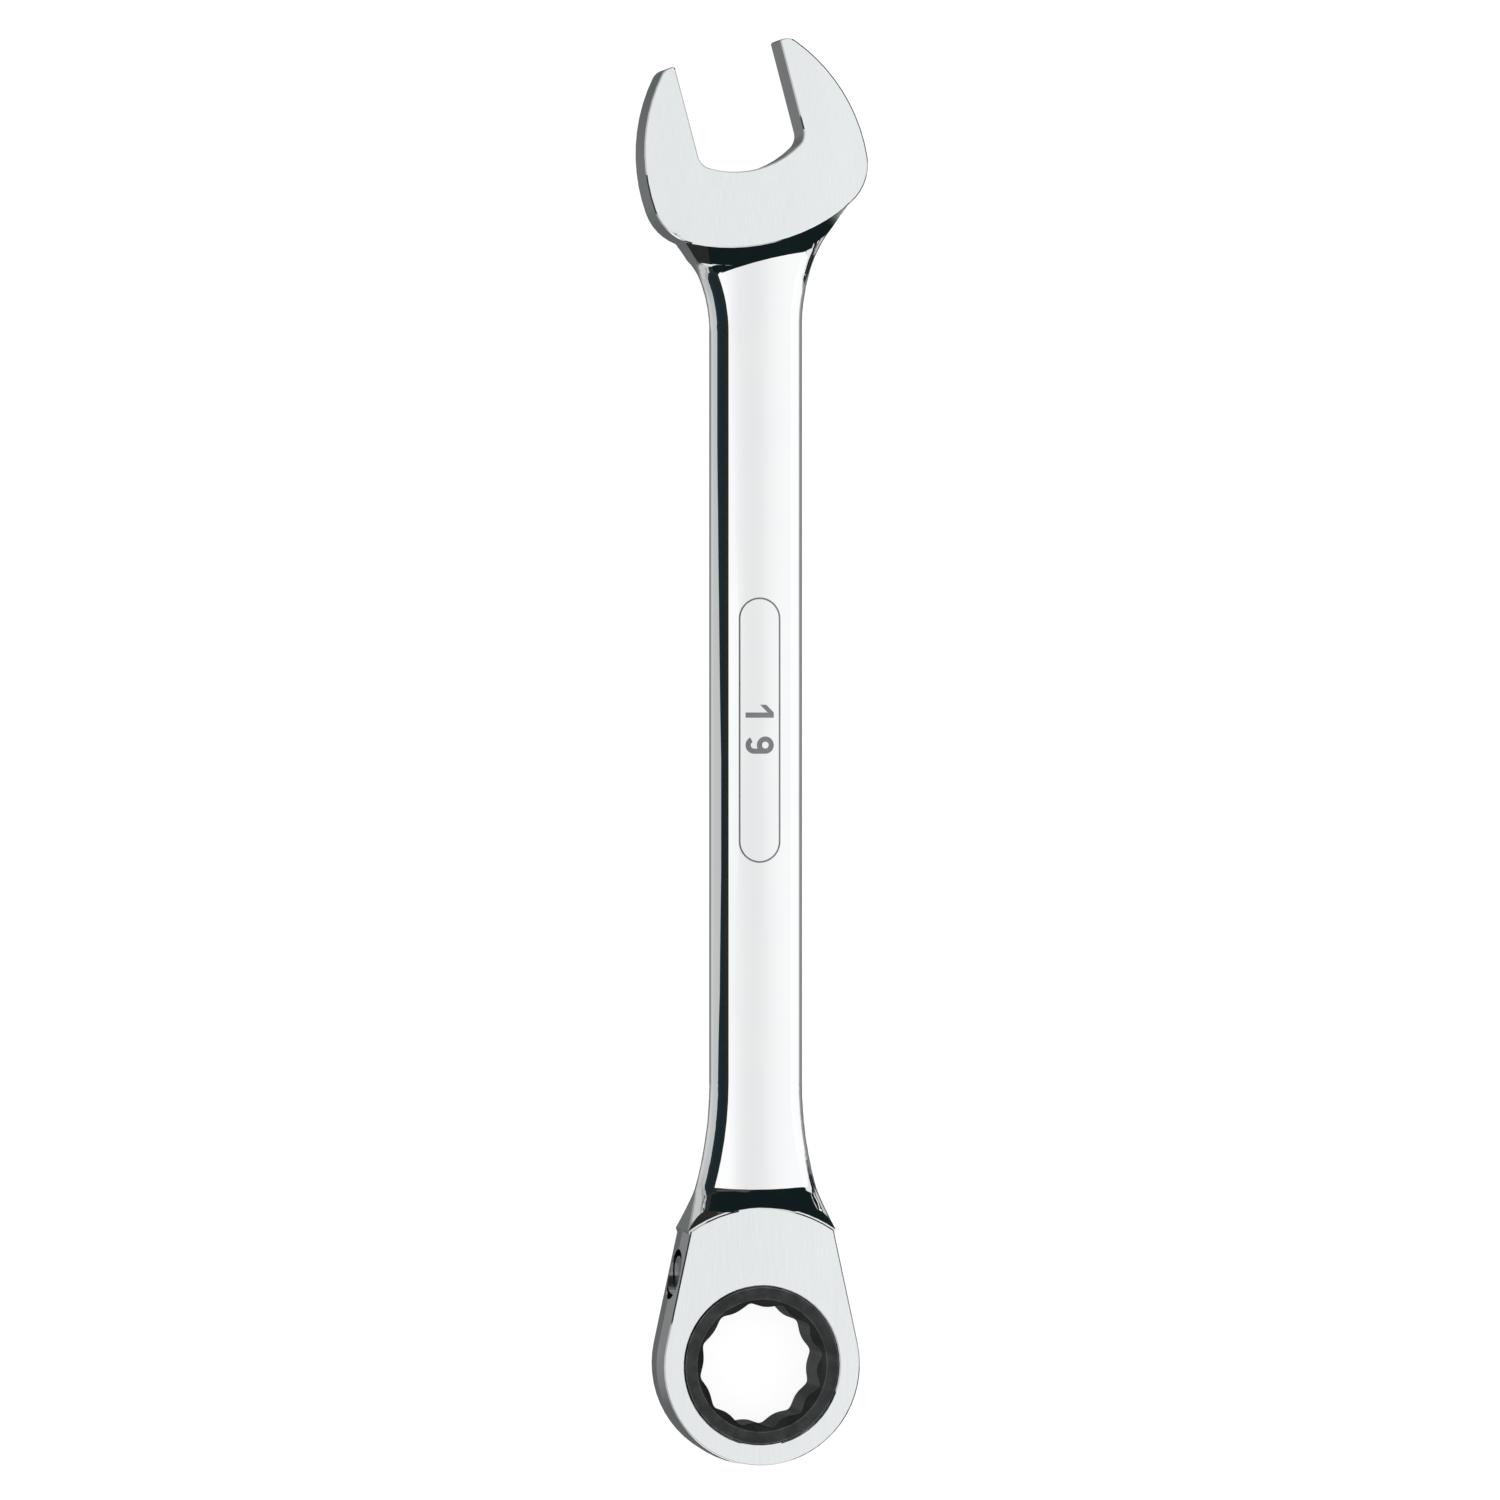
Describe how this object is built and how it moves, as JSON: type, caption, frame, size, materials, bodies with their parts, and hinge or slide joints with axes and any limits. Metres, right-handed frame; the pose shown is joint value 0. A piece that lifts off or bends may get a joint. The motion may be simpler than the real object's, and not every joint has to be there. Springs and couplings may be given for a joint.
{
  "type": "ratcheting combination wrench",
  "caption": "Combination wrench with an angled open end and a ratcheting box end, for turning hexagonal nuts and bolt heads.",
  "frame": {"origin": "on the drive axis of the box end, half way through its thickness", "axes": "+Y along the shank to the open end, +Z along the drive axis out of the marked face, +X to the right"},
  "size_m": [0.0397, 0.2476, 0.011],
  "materials": {
    "chrome_body": "mirror chrome plate, heads ground flat",
    "black_gear": "black oxide",
    "pawl_steel": "oiled dark steel",
    "spring_steel": "drawn spring wire",
    "ring_steel": "phosphated spring steel"
  },
  "bodies": {
    "body": {"wrench_body": "chrome_body", "retaining_ring": "ring_steel", "pawl_spring": "spring_steel"},
    "gear": {"ratchet_gear": "black_gear"},
    "pawl": {"pawl": "pawl_steel"}
  },
  "joints": [
    {"name": "gear_spin", "type": "hinge", "parent": "body", "child": "gear", "pos_m": [0, 0, 0], "axis": [0, 0, 1], "continuous": true},
    {"name": "pawl_slide", "type": "slide", "parent": "body", "child": "pawl", "axis": [0.2588, 0.9659, 0], "range_m": [0, 0.00075], "stiffness_N_per_m": 400, "springref_m": -0.001, "deforming": ["pawl_spring"]}
  ]
}
